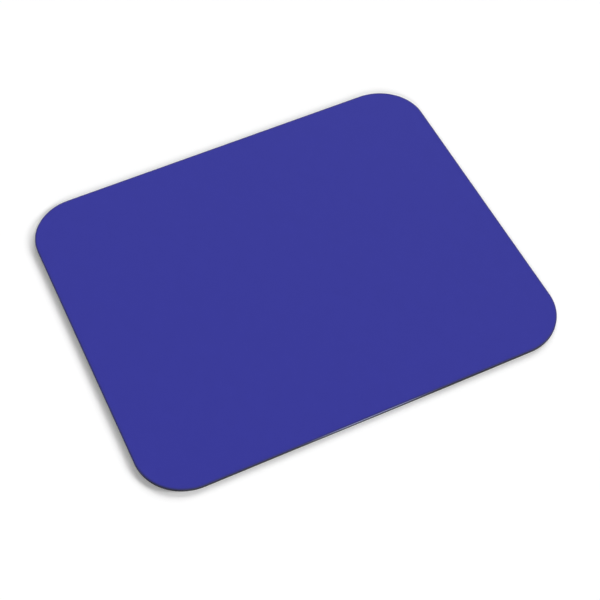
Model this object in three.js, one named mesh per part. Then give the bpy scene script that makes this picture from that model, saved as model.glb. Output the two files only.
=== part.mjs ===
// A cloth-faced mouse pad: a knitted top, a thin bonding film and a foam rubber base, laminated as
// sheets and then die-cut together, so that all three share one outline with round corners.
// Millimetres, +Z up. X runs along the long side and the origin is the middle of the underside.
import * as THREE from "three";

// Plan of the cut
const PAD_LENGTH = 260;
const PAD_WIDTH = 220;
const CORNER_RADIUS = 29.5;

// Sheets, from the desk up
const BASE_THICKNESS = 1.45;
const FILM_THICKNESS = 0.1;
const CLOTH_THICKNESS = 0.45;

// What the cutting die leaves along the edge
const CLOTH_RIM_RADIUS = 0.3; // the cloth's top rim is rolled down
const WALL_HOLLOW = 0.12; // the foam springs back and its cut wall is drawn in this far at mid height
const BASE_RIM_RADIUS = 0.15; // the base's lower rim is eased
const MOST_RIM_SHARE = 0.9; // no rim takes up more than this share of its sheet's thickness

// Fineness of the facets
const CORNER_STEPS = 8; // half the number of facets round a corner
const RIM_STEPS = 4;
const WALL_STEPS = 6;

// The heights of the two bonded faces and of the top, which the neighbouring sheets share.
const FILM_SEAT = BASE_THICKNESS;
const CLOTH_SEAT = FILM_SEAT + FILM_THICKNESS;
const PAD_TOP = CLOTH_SEAT + CLOTH_THICKNESS;

// The points of the cut outline, drawn in by an inset. Every inset gives the same number of points.
function outlinePoints(inset) {
  const cornerX = PAD_LENGTH / 2 - CORNER_RADIUS;
  const cornerY = PAD_WIDTH / 2 - CORNER_RADIUS;
  const radius = CORNER_RADIUS - inset;
  const quarter = Math.PI / 2;
  const outline = new THREE.Shape();
  outline.absarc(cornerX, -cornerY, radius, -quarter, 0);
  outline.absarc(cornerX, cornerY, radius, 0, quarter);
  outline.absarc(-cornerX, cornerY, radius, quarter, 2 * quarter);
  outline.absarc(-cornerX, -cornerY, radius, 2 * quarter, 3 * quarter);
  return outline.getPoints(CORNER_STEPS);
}

// A closed sheet lofted through rings of { inset, z }, from its lowest ring to its highest.
function sheetGeometry(rings) {
  const loops = rings.map(({ inset }) => outlinePoints(inset));
  const count = loops[0].length;
  const positions = loops.flatMap((loop, i) => loop.flatMap((p) => [p.x, p.y, rings[i].z]));
  const indices = [];
  for (let ring = 0; ring + 1 < rings.length; ring++) {
    for (let i = 0; i < count; i++) {
      const low = ring * count + i;
      const lowNext = ring * count + ((i + 1) % count);
      indices.push(low, lowNext, lowNext + count, low, lowNext + count, low + count);
    }
  }
  const top = (rings.length - 1) * count;
  for (const [a, b, c] of THREE.ShapeUtils.triangulateShape(loops[0], [])) {
    indices.push(a, c, b);
    indices.push(top + a, top + b, top + c);
  }
  const geometry = new THREE.BufferGeometry();
  geometry.setAttribute("position", new THREE.Float32BufferAttribute(positions, 3));
  geometry.setIndex(indices);
  geometry.computeVertexNormals();
  return geometry;
}

// Angles of a quarter turn in equal steps, 0 first.
function quarterTurn(steps) {
  return Array.from({ length: steps + 1 }, (_, i) => (i / steps) * (Math.PI / 2));
}

// A rim's radius, limited by the sheet that it rounds off.
function rimRadius(wanted, thickness) {
  return Math.min(wanted, thickness * MOST_RIM_SHARE);
}

// Foam rubber base: flat underneath with an eased rim, and a cut wall hollowed as a half sine.
function baseGeometry() {
  const rim = rimRadius(BASE_RIM_RADIUS, BASE_THICKNESS);
  const easedRim = quarterTurn(RIM_STEPS).map((turn) => ({
    inset: rim * (1 - Math.sin(turn)),
    z: rim * (1 - Math.cos(turn)),
  }));
  const wallHeight = BASE_THICKNESS - rim;
  const hollowWall = [];
  for (let step = 1; step < WALL_STEPS; step++) {
    const share = step / WALL_STEPS;
    hollowWall.push({
      inset: WALL_HOLLOW * Math.sin(Math.PI * share),
      z: rim + wallHeight * share,
    });
  }
  return sheetGeometry([...easedRim, ...hollowWall, { inset: 0, z: FILM_SEAT }]);
}

// Bonding film: flat on both faces, trimmed flush by the die.
function filmGeometry() {
  return sheetGeometry([
    { inset: 0, z: FILM_SEAT },
    { inset: 0, z: CLOTH_SEAT },
  ]);
}

// Knitted top: an upright cut edge, then the rolled rim.
function clothGeometry() {
  const rim = rimRadius(CLOTH_RIM_RADIUS, CLOTH_THICKNESS);
  const rolledRim = quarterTurn(RIM_STEPS).map((turn) => ({
    inset: rim * (1 - Math.cos(turn)),
    z: PAD_TOP - rim * (1 - Math.sin(turn)),
  }));
  return sheetGeometry([{ inset: 0, z: CLOTH_SEAT }, ...rolledRim]);
}

const blueKnit = new THREE.MeshStandardMaterial({ color: 0x3c3d9a, roughness: 0.9, metalness: 0 });
const paleFilm = new THREE.MeshStandardMaterial({ color: 0xc9c9cf, roughness: 0.5, metalness: 0 });
const blackFoam = new THREE.MeshStandardMaterial({ color: 0x242428, roughness: 0.85, metalness: 0 });

function sheet(name, geometry, material) {
  const mesh = new THREE.Mesh(geometry, material);
  mesh.name = name;
  return mesh;
}

const mousePad = new THREE.Group();
mousePad.name = "mouse_pad";
mousePad.add(
  sheet("foam_base", baseGeometry(), blackFoam),
  sheet("bonding_film", filmGeometry(), paleFilm),
  sheet("cloth_top", clothGeometry(), blueKnit),
);

export default mousePad;
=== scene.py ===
# Mouse pad: a blue knitted cloth bonded by a pale film to a black sponge base, all cut by one die.
import math

import bmesh
import bpy
from mathutils import Matrix, Quaternion, Vector, noise


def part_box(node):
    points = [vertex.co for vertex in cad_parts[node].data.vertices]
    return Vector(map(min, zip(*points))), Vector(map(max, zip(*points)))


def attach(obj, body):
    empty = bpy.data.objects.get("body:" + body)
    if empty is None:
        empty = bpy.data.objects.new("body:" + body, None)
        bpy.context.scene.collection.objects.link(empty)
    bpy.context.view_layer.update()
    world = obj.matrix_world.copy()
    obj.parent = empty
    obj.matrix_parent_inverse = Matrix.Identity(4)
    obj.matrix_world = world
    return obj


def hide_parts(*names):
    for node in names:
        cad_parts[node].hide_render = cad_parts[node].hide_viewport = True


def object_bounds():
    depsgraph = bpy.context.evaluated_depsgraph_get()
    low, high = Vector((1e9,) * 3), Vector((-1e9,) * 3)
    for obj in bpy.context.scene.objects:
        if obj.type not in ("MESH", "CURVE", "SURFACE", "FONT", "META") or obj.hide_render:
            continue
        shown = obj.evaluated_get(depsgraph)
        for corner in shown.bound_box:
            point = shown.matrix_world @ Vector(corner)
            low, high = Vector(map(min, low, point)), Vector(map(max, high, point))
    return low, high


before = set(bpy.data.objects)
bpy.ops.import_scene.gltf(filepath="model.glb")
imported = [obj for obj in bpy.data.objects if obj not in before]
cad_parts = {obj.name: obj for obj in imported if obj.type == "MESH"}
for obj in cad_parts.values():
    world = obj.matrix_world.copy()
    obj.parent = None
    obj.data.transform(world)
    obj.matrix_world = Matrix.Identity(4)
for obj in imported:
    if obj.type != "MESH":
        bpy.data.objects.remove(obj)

cadLow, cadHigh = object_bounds()
mm = 0.001
quarterTurn = math.radians(90)
print("frame loaded:", ", ".join(sorted(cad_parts)))


# The cutting die

die = {
    "cornerRadius": 29.5 * mm,
    "cornerCuts": 20,  # straight cuts that round off each corner
    "tolerance": 0.0001 * mm,  # points this near a cut count as on it
}
halfLength = (cadHigh.x - cadLow.x) / 2
halfWidth = (cadHigh.y - cadLow.y) / 2
coreX = halfLength - die["cornerRadius"]  # middles of the corner arcs
coreY = halfWidth - die["cornerRadius"]
sheetSize = (2 * halfLength, 2 * halfWidth)


# The die's outline is convex, so a plane for every facet of it trims a sheet to shape.
def dieCut(bm, inset):
    reach = die["cornerRadius"] - inset
    for sideX, sideY in ((1, 1), (-1, 1), (-1, -1), (1, -1)):
        middle = Vector((sideX * coreX, sideY * coreY, 0))
        for cut in range(die["cornerCuts"] + 1):
            turn = quarterTurn * cut / die["cornerCuts"]
            away = Vector((sideX * math.cos(turn), sideY * math.sin(turn), 0))
            bmesh.ops.bisect_plane(
                bm,
                geom=bm.verts[:] + bm.edges[:] + bm.faces[:],
                dist=die["tolerance"],
                plane_co=middle + away * reach,
                plane_no=away,
                clear_outer=True,
            )


# The nearest point of the core, and the direction from there that is square to the cut edge
def squareToEdge(place):
    start = Vector((max(-coreX, min(coreX, place.x)), max(-coreY, min(coreY, place.y)), 0))
    return start, (Vector((place.x, place.y, 0)) - start).normalized()


# The place at this height that lies inset from the die's outline
def insetPlace(place, inset, height):
    start, away = squareToEdge(place)
    return start + away * (die["cornerRadius"] - inset) + Vector((0, 0, height))


# Stretches of the front edge: where the film shows, and where the sponge's foot spreads on the desk.
# A stretch's reach is half its length, and its fade is the part at each end where it eases off.
paleStretch = {"middle": -1.5 * mm, "reach": 49 * mm, "fade": 36 * mm}
spreadStretch = {"middle": 35 * mm, "reach": 95 * mm, "fade": 95 * mm}


# 1 in the middle of a stretch, easing to 0 at its ends
def stretchShare(stretch, place):
    inside = stretch["reach"] - abs(place.x - stretch["middle"])
    if place.y > -coreY or inside <= 0:
        return 0.0
    return math.sin(min(1, inside / stretch["fade"]) * quarterTurn) ** 2


# A flat grid, large enough to be trimmed by the die
def newSheet(cellX, cellY, height, odd=0):
    cellsX = 2 * math.ceil(halfLength / cellX) + odd
    cellsY = 2 * math.ceil(halfWidth / cellY) + odd
    size = Matrix.Translation((0, 0, height)) @ Matrix.Diagonal((cellsX * cellX, cellsY * cellY, 1, 1))
    bm = bmesh.new()
    bmesh.ops.create_grid(bm, x_segments=cellsX, y_segments=cellsY, size=0.5, matrix=size)
    return bm


def openEdges(bm):
    return [edge for edge in bm.edges if edge.is_boundary]


# Splits the open edges until none is much longer than the step.
def divideRim(bm, step):
    byCuts = {}
    for edge in openEdges(bm):
        byCuts.setdefault(round(edge.calc_length() / step) - 1, []).append(edge)
    for cuts, edges in sorted(byCuts.items()):
        if cuts > 0:
            bmesh.ops.subdivide_edges(bm, edges=edges, cuts=cuts)


# Draws a new ring out of the open edges and puts each of its points where placing says.
def drawRing(bm, placing):
    made = bmesh.ops.extrude_edge_only(bm, edges=openEdges(bm))["geom"]
    verts = [part for part in made if isinstance(part, bmesh.types.BMVert)]
    for vert in verts:
        vert.co = placing(vert.co)
    return verts


# Closes the open edges with one face, and splits that and the trimmed cells into even triangles.
def closeSheet(bm):
    bmesh.ops.holes_fill(bm, edges=openEdges(bm))
    bmesh.ops.triangulate(bm, faces=[face for face in bm.faces if len(face.verts) > 4])
    bmesh.ops.recalc_face_normals(bm, faces=bm.faces[:])


def makePiece(bm, name, material):
    mesh = bpy.data.meshes.new(name)
    bm.to_mesh(mesh)
    bm.free()
    mesh.materials.append(material)
    piece = bpy.data.objects.new(name, mesh)
    bpy.context.scene.collection.objects.link(piece)
    print(name, "has", len(mesh.polygons), "faces")
    return piece


# Material helpers

def startMaterial(name):
    material = bpy.data.materials.new(name)
    material.use_nodes = True
    return material, material.node_tree, material.node_tree.nodes["Principled BSDF"]


def wire(tree, value, socket):  # links a socket, or sets it to a plain value
    if isinstance(value, bpy.types.NodeSocket):
        tree.links.new(value, socket)
    else:
        socket.default_value = value


def mathNode(tree, operation, *values):
    node = tree.nodes.new("ShaderNodeMath")
    node.operation = operation
    for socket, value in zip(node.inputs, values):
        wire(tree, value, socket)
    return node.outputs[0]


def objectPlace(tree):
    return tree.nodes.new("ShaderNodeTexCoord").outputs["Object"]


def splitPlace(tree, place):
    node = tree.nodes.new("ShaderNodeSeparateXYZ")
    tree.links.new(place, node.inputs[0])
    return node.outputs


def attributeNode(tree, name):
    node = tree.nodes.new("ShaderNodeAttribute")
    node.attribute_name = name
    return node.outputs["Fac"]


def noiseNode(tree, place, size, detail):  # size is that of its blotches
    node = tree.nodes.new("ShaderNodeTexNoise")
    node.inputs["Scale"].default_value = 1 / size
    node.inputs["Detail"].default_value = detail
    tree.links.new(place, node.inputs["Vector"])
    return node


def rangeNode(tree, value, low, high):  # spreads 0 to 1 over low to high
    node = tree.nodes.new("ShaderNodeMapRange")
    node.inputs["To Min"].default_value = low
    node.inputs["To Max"].default_value = high
    tree.links.new(value, node.inputs["Value"])
    return node.outputs["Result"]


def mixColours(tree, share, first, second, blend="MIX"):
    node = tree.nodes.new("ShaderNodeMix")
    node.data_type = "RGBA"
    node.blend_type = blend
    wire(tree, share, node.inputs["Factor"])
    # its sockets for numbers and vectors have the same names, so the colour sockets are told by type
    colourSockets = [socket for socket in node.inputs if socket.type == "RGBA"]
    for socket, colour in zip(colourSockets, (first, second)):
        wire(tree, colour, socket)
    return next(socket for socket in node.outputs if socket.type == "RGBA")


def bumpNode(tree, height, depth):
    node = tree.nodes.new("ShaderNodeBump")
    node.inputs["Distance"].default_value = depth
    tree.links.new(height, node.inputs["Height"])
    return node.outputs["Normal"]


# Sponge base

sponge = {
    "studPitch": 2.5 * mm,  # square grip studs underneath
    "studFlank": 0.35 * mm,
    "grooveDepth": 0.15 * mm,
    "rimStep": 0.26 * mm,
    "rings": 7,  # up the cut wall
    "wallHollow": 0.12 * mm,  # drawn in at mid height
    "footSpread": 0.18 * mm,  # out from under the pad, most at the desk
    "cellSize": 0.5 * mm,  # torn cells in the cut wall
    "cellDepth": 0.045 * mm,
    "black": (0.019, 0.019, 0.032, 1),
    "poreShadeBlack": (0.008, 0.008, 0.013, 1),
    "poreSize": 0.22 * mm,
    "poreDepth": 0.06 * mm,
    "dustSize": 14 * mm,
    "dustDetail": 4,
    "tone": (0.8, 1.2),
    "roughness": (0.78, 0.95),
    "specular": 0.3,
}


def spongeMaterial():
    material, tree, shader = startMaterial("blackSponge")
    place = objectPlace(tree)
    pores = tree.nodes.new("ShaderNodeTexVoronoi")
    pores.inputs["Scale"].default_value = 1 / sponge["poreSize"]
    tree.links.new(place, pores.inputs["Vector"])
    skin = pores.outputs["Distance"]
    dust = noiseNode(tree, place, sponge["dustSize"], sponge["dustDetail"]).outputs["Fac"]
    # painted shade: the foam is darker towards the middle of each pore, where its bump dips
    colour = mixColours(tree, skin, sponge["poreShadeBlack"], sponge["black"])
    colour = mixColours(tree, 1.0, colour, rangeNode(tree, dust, *sponge["tone"]), "MULTIPLY")
    wire(tree, colour, shader.inputs["Base Color"])
    wire(tree, rangeNode(tree, dust, *sponge["roughness"]), shader.inputs["Roughness"])
    wire(tree, bumpNode(tree, skin, sponge["poreDepth"]), shader.inputs["Normal"])
    shader.inputs["Specular IOR Level"].default_value = sponge["specular"]
    return material


def makeSponge():
    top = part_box("foam_base")[1].z
    pitch = sponge["studPitch"]
    bm = newSheet(pitch, pitch, sponge["grooveDepth"], odd=1)  # so that the die cuts through studs
    bmesh.ops.reverse_faces(bm, faces=bm.faces[:])
    # the middle of each cell is drawn down to the desk, and leaves a groove around it
    bmesh.ops.inset_individual(
        bm,
        faces=bm.faces[:],
        thickness=sponge["studFlank"],
        depth=sponge["grooveDepth"],
        use_even_offset=True,
    )
    dieCut(bm, 0)
    divideRim(bm, sponge["rimStep"])
    underside = set(bm.faces)

    def spreadAt(place, height):
        return sponge["footSpread"] * stretchShare(spreadStretch, place) * (1 - height / top)

    # share is how far up the wall the place lies
    def wallPlace(place, share):
        height = top * share
        midway = math.sin(math.pi * share)  # 1 at mid height, 0 at the foot and the top
        spot = Vector((place.x, place.y, height)) / sponge["cellSize"]
        torn = sponge["cellDepth"] * midway ** 0.5 * (1 + noise.noise(spot))
        return insetPlace(place, sponge["wallHollow"] * midway + torn - spreadAt(place, height), height)

    for vert in {vert for edge in openEdges(bm) for vert in edge.verts}:
        vert.co = insetPlace(vert.co, -spreadAt(vert.co, vert.co.z), vert.co.z)
    for ring in range(sponge["rings"]):
        share = (ring + 1) / sponge["rings"]
        drawRing(bm, lambda place: wallPlace(place, share))
    for face in bm.faces:
        face.smooth = face not in underside
    closeSheet(bm)
    piece = makePiece(bm, "spongeBase", spongeMaterial())
    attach(piece, "root")
    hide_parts("foam_base")


# Bonding film

film = {
    "cell": 20 * mm,
    "rimStep": 1.5 * mm,
    "lipThickness": 0.05 * mm,
    "leastLip": 0.03 * mm,  # the die draws the film down a hair all round
    "paleLip": 0.06 * mm,  # and this much further in the pale stretch
    "milk": (0.48, 0.50, 0.80, 1),
    "cloudy": (0.38, 0.40, 0.68, 1),
    "darkened": (0.016, 0.016, 0.040, 1),  # the film's colour outside the pale stretch
    "cloudSize": 2.5 * mm,
    "cloudDetail": 4,
    "roughness": (0.4, 0.6),
}


def filmMaterial():
    material, tree, shader = startMaterial("paleFilm")
    clouds = noiseNode(tree, objectPlace(tree), film["cloudSize"], film["cloudDetail"]).outputs["Fac"]
    colour = mixColours(tree, clouds, film["cloudy"], film["milk"])
    # the film is dark everywhere but in the pale stretch
    colour = mixColours(tree, attributeNode(tree, "darkening"), colour, film["darkened"])
    wire(tree, colour, shader.inputs["Base Color"])
    wire(tree, rangeNode(tree, clouds, *film["roughness"]), shader.inputs["Roughness"])
    return material


def makeFilm():
    low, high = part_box("bonding_film")
    bm = newSheet(film["cell"], film["cell"], low.z)
    dieCut(bm, 0)
    divideRim(bm, film["rimStep"])
    darkening = bm.verts.layers.float.new("darkening")

    def lipFoot(place):
        return low.z - film["leastLip"] - film["paleLip"] * stretchShare(paleStretch, place)

    # down the lip's inner side, across its foot, up its outer side, and in to the top
    drawRing(bm, lambda place: insetPlace(place, 0, lipFoot(place)))
    drawRing(bm, lambda place: insetPlace(place, -film["lipThickness"], lipFoot(place)))
    drawRing(bm, lambda place: insetPlace(place, -film["lipThickness"], low.z))
    drawRing(bm, lambda place: insetPlace(place, 0, high.z))
    for vert in bm.verts:
        vert[darkening] = 1 - stretchShare(paleStretch, vert.co)
    closeSheet(bm)
    piece = makePiece(bm, "paleFilm", filmMaterial())
    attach(piece, "root")
    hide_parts("bonding_film")


# Knitted cloth

cloth = {
    "wale": 0.5 * mm,  # width of a stitch
    "course": 25 / 60 * mm,  # height of a stitch: 60 of them to 25 mm
    "repeatWales": 80,  # the knit repeats after so many stitches across
    "repeatCourses": 72,  # and after so many up
    "cellWales": 10,  # stitches to a cell of the mesh
    "cellCourses": 12,
    "rimStep": 0.8 * mm,
    "rimRadius": 0.3 * mm,  # rolled down by the die
    "rimRings": 5,
    "flatBand": 0.9 * mm,  # between the cells and the rim
    "drawBack": 0.11 * mm,  # from the film's edge in the pale stretch
    "wobble": 0.03 * mm,  # unevenness of the cut edge
    "wobbleSize": 4 * mm,
    "swell": 0.025 * mm,  # unevenness of the face
    "swellSize": 32 * mm,
    "slant": 0.8,  # courses that a leg of a stitch climbs
    "rowShare": 0.4,  # how much of the relief the rows make
    "relief": 0.02 * mm,
    "drift": 0.12 * mm,  # unevenness of the rows
    "driftSize": 9 * mm,
    "driftDetail": 2,
    "crownBlue": (0.041, 0.043, 0.368, 1),
    "gapShadeBlue": (0.0295, 0.0305, 0.270, 1),
    # painted shade along the rim: the navy darkens the rolled rim and the upright cut edge
    "rimShadeNavy": (0.036, 0.036, 0.125, 1),
    "edgeShade": 0.7,  # share of the painted rim shade where the rim starts to roll
    "tone": (0.96, 1.04),
    "toneSize": 6 * mm,
    "toneDetail": 5,
    "roughness": (0.95, 0.85),
    "specular": 0.15,
    "sheen": 0.06,
    "sheenRoughness": 0.4,
    "sheenTint": (0.5, 0.52, 0.9, 1),
}
repeatX = cloth["wale"] * cloth["repeatWales"]
repeatY = cloth["course"] * cloth["repeatCourses"]


# Noise that repeats with the knit: each way round a repeat is a circle in its four dimensions.
def repeatNoise(tree, place, size, detail):
    split = splitPlace(tree, place)
    circles = []
    for axis, repeat in (("X", repeatX), ("Y", repeatY)):
        turn = mathNode(tree, "MULTIPLY", split[axis], 2 * math.pi / repeat)
        for operation in ("COSINE", "SINE"):
            swing = mathNode(tree, operation, turn)
            circles.append(mathNode(tree, "MULTIPLY", swing, repeat / (2 * math.pi)))
    join = tree.nodes.new("ShaderNodeCombineXYZ")
    node = noiseNode(tree, join.outputs[0], size, detail)
    node.noise_dimensions = "4D"
    for value, socket in zip(circles, [*join.inputs, node.inputs["W"]]):
        tree.links.new(value, socket)
    return node


def knitMaterial():
    material, tree, shader = startMaterial("blueKnit")
    place = objectPlace(tree)
    # rows that wander a little
    wander = repeatNoise(tree, place, cloth["driftSize"], cloth["driftDetail"]).outputs["Color"]
    shift = tree.nodes.new("ShaderNodeVectorMath")
    shift.operation = "MULTIPLY_ADD"
    tree.links.new(wander, shift.inputs[0])
    shift.inputs[1].default_value = (cloth["drift"],) * 3
    tree.links.new(place, shift.inputs[2])
    split = splitPlace(tree, shift.outputs[0])
    wales = mathNode(tree, "MULTIPLY", split["X"], 1 / cloth["wale"])
    courses = mathNode(tree, "MULTIPLY", split["Y"], 1 / cloth["course"])
    # two slanting legs to each stitch
    fold = mathNode(tree, "PINGPONG", wales, 0.5)
    leg = mathNode(tree, "SINE", mathNode(tree, "MULTIPLY", fold, 2 * math.pi))
    turns = mathNode(tree, "MULTIPLY_ADD", fold, 2 * cloth["slant"], courses)
    row = mathNode(tree, "SINE", mathNode(tree, "MULTIPLY", turns, 2 * math.pi))
    rise = mathNode(tree, "MULTIPLY_ADD", row, cloth["rowShare"], 1 - cloth["rowShare"])
    yarn = mathNode(tree, "MULTIPLY", leg, rise)
    # painted shade: the knit's colour is darker in the gaps between stitches, where its hollows lie
    colour = mixColours(tree, yarn, cloth["gapShadeBlue"], cloth["crownBlue"])
    blotch = repeatNoise(tree, place, cloth["toneSize"], cloth["toneDetail"]).outputs["Fac"]
    colour = mixColours(tree, 1.0, colour, rangeNode(tree, blotch, *cloth["tone"]), "MULTIPLY")
    # painted shade: the rim's colour turns navy towards the cut
    colour = mixColours(tree, attributeNode(tree, "rimShade"), colour, cloth["rimShadeNavy"])
    wire(tree, colour, shader.inputs["Base Color"])
    wire(tree, rangeNode(tree, yarn, *cloth["roughness"]), shader.inputs["Roughness"])
    wire(tree, bumpNode(tree, yarn, cloth["relief"]), shader.inputs["Normal"])
    shader.inputs["Specular IOR Level"].default_value = cloth["specular"]
    shader.inputs["Sheen Weight"].default_value = cloth["sheen"]
    shader.inputs["Sheen Roughness"].default_value = cloth["sheenRoughness"]
    shader.inputs["Sheen Tint"].default_value = cloth["sheenTint"]
    return material


# The map that the knit is baked through repeats across, so that each stitch keeps many pixels.
# Up the map lie one repeat of the flat face, the rim from the flat face outwards, and the hidden back.
knitMap = {
    "name": "OFBake",
    "face": (0.10, 0.74),
    "rim": (0.84, 0.92),
    "back": (0.95, 0.99),
    "aside": 8,  # whole repeats that keep the rim's other sides off the back edge's drawing
}


def bandPlace(band, share):
    low, high = knitMap[band]
    return low + (high - low) * share


def layKnitMap(bm, outward):
    layer = bm.loops.layers.uv.new(knitMap["name"])
    rimRun = max(vert[outward] for vert in bm.verts)
    for face in bm.faces:
        middle = face.calc_center_median()
        away = squareToEdge(middle)[1]
        along = Vector((away.y, -away.x, 0)) / repeatX
        aside = 0 if middle.y > coreY and abs(middle.x) < coreX else knitMap["aside"]
        isBack = all(vert[outward] == rimRun for vert in face.verts)
        isRim = any(vert[outward] > 0 for vert in face.verts)
        for loop in face.loops:
            place = loop.vert.co
            if isBack:  # turned over, as it is seen from below, across half of the map
                spot = (0.5 - place.x / sheetSize[0] / 2, bandPlace("back", 0.5 + place.y / sheetSize[1]))
            elif isRim:
                spot = (aside + place.dot(along), bandPlace("rim", loop.vert[outward] / rimRun))
            else:
                row = math.floor(middle.y / repeatY)
                spot = (place.x / repeatX, bandPlace("face", place.y / repeatY - row))
            loop[layer].uv = spot


def makeCloth():
    low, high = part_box("cloth_top")
    rim = cloth["rimRadius"]
    bm = newSheet(cloth["wale"] * cloth["cellWales"], cloth["course"] * cloth["cellCourses"], high.z)
    dieCut(bm, rim + cloth["flatBand"])
    divideRim(bm, cloth["rimStep"])
    rimShade = bm.verts.layers.float.new("rimShade")
    outward = bm.verts.layers.float.new("outward")  # how far the rim has run from the flat face

    # the face is uneven in the middle, and level where the rim begins
    for vert in bm.verts:
        toEdge = min(halfLength - abs(vert.co.x), halfWidth - abs(vert.co.y))
        share = min(1, toEdge / cloth["swellSize"])
        vert.co.z -= cloth["swell"] * share * (1 + noise.noise(vert.co / cloth["swellSize"]))

    def edgeInset(place):
        wander = cloth["wobble"] * (1 + noise.noise(place / cloth["wobbleSize"]))
        return wander + cloth["drawBack"] * stretchShare(paleStretch, place)

    # run is the way along the surface from where the rim begins to roll
    def drawEdge(inset, height, shade, run):
        for vert in drawRing(bm, lambda place: insetPlace(place, inset + edgeInset(place), height)):
            vert[rimShade] = shade
            vert[outward] = cloth["flatBand"] + run

    # painted shade rises from the flat band round the rim, and the upright cut takes all of it
    for ring in range(cloth["rimRings"] + 1):
        share = ring / cloth["rimRings"]
        turn = quarterTurn * share
        shade = cloth["edgeShade"] + (1 - cloth["edgeShade"]) * share
        drawEdge(rim * (1 - math.sin(turn)), high.z - rim * (1 - math.cos(turn)), shade, rim * turn)
    drawEdge(0, low.z, 1, rim * quarterTurn + high.z - rim - low.z)
    for face in bm.faces:
        face.smooth = True
    closeSheet(bm)
    layKnitMap(bm, outward)
    piece = makePiece(bm, "knittedCloth", knitMaterial())
    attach(piece, "root")
    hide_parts("cloth_top")


makeSponge()
makeFilm()
makeCloth()


# Studio: a white floor, a wide arc of soft lamps on the right, and an even dome

studio = {
    "domeShare": 0.18,  # shares of the light on a level face add up to 1
    "lamps": [
        {"name": "backLamp", "share": 0.16, "azimuth": 59, "elevation": 22, "softness": 21},
        {"name": "cornerLamp", "share": 0.236, "azimuth": 30, "elevation": 21.5, "softness": 21},
        {"name": "sideLamp", "share": 0.238, "azimuth": -21, "elevation": 19, "softness": 15},
        {"name": "frontLamp", "share": 0.186, "azimuth": -110, "elevation": 19, "softness": 16},
    ],
    "white": (1, 1, 1, 1),
    "floorGrey": (0.8, 0.8, 0.8, 1),  # where it lights the pad
    "floorReach": 20,  # metres from its middle to its sides
    "floorDrop": 0.02 * mm,  # below the pad's foot
    "floorGlow": 0.02,  # where it is seen, directly or mirrored
}


def backgroundSeen(tree):  # 1 for rays that show the background
    path = tree.nodes.new("ShaderNodeLightPath")
    mirrored = mathNode(
        tree, "MAXIMUM", path.outputs["Is Glossy Ray"], path.outputs["Is Transmission Ray"]
    )
    return mathNode(tree, "MAXIMUM", path.outputs["Is Camera Ray"], mirrored)


def floorMaterial():
    material, tree, shader = startMaterial("whiteFloor")
    seen = backgroundSeen(tree)
    wire(tree, mixColours(tree, seen, studio["floorGrey"], studio["white"]), shader.inputs["Base Color"])
    wire(tree, mathNode(tree, "MULTIPLY", seen, studio["floorGlow"]), shader.inputs["Emission Strength"])
    shader.inputs["Emission Color"].default_value = studio["white"]
    shader.inputs["Roughness"].default_value = 1
    shader.inputs["Specular IOR Level"].default_value = 0
    return material


def makeFloor():
    bm = bmesh.new()
    drop = Matrix.Translation((0, 0, -studio["floorDrop"]))
    bmesh.ops.create_grid(bm, x_segments=1, y_segments=1, size=studio["floorReach"], matrix=drop)
    makePiece(bm, "studioFloor", floorMaterial())


# The direction at this turn from +X towards +Y and this height above the floor
def directionTo(azimuth, elevation):
    turn = math.radians(azimuth)
    height = math.radians(elevation)
    across = math.cos(height)
    return Vector((math.cos(turn) * across, math.sin(turn) * across, math.sin(height)))


def makeLamps():
    for lamp in studio["lamps"]:
        data = bpy.data.lights.new(lamp["name"], "SUN")
        towards = directionTo(lamp["azimuth"], lamp["elevation"])
        data.energy = math.pi * lamp["share"] / towards.z
        data.angle = math.radians(lamp["softness"])
        light = bpy.data.objects.new(lamp["name"], data)
        light.location = towards
        light.rotation_mode = "QUATERNION"
        light.rotation_quaternion = towards.to_track_quat("Z", "Y")
        bpy.context.scene.collection.objects.link(light)


def makeDome():
    world = bpy.data.worlds.new("whiteDome")
    world.use_nodes = True
    tree = world.node_tree
    strength = rangeNode(tree, backgroundSeen(tree), studio["domeShare"], 1)
    wire(tree, strength, tree.nodes["Background"].inputs["Strength"])
    tree.nodes["Background"].inputs["Color"].default_value = studio["white"]
    bpy.context.scene.world = world


# Camera

view = {
    "lens": 88.15,
    "sensor": 36,
    "azimuth": -113.24,
    "elevation": 54.10,
    "roll": -2.02,
    "distance": 859.65 * mm,
    "aim": (-2.78 * mm, -20.38 * mm, 1 * mm),
}


def makeCamera():
    data = bpy.data.cameras.new("camera")
    data.lens = view["lens"]
    data.sensor_width = view["sensor"]
    back = directionTo(view["azimuth"], view["elevation"])
    camera = bpy.data.objects.new("camera", data)
    camera.location = Vector(view["aim"]) + back * view["distance"]
    camera.rotation_mode = "QUATERNION"
    level = back.to_track_quat("Z", "Y")
    camera.rotation_quaternion = level @ Quaternion((0, 0, 1), math.radians(view["roll"]))
    bpy.context.scene.collection.objects.link(camera)
    bpy.context.scene.camera = camera


makeFloor()
makeLamps()
makeDome()
makeCamera()
bpy.context.scene.view_settings.view_transform = "Standard"
print("studio and camera set")

bpy.context.view_layer.update()
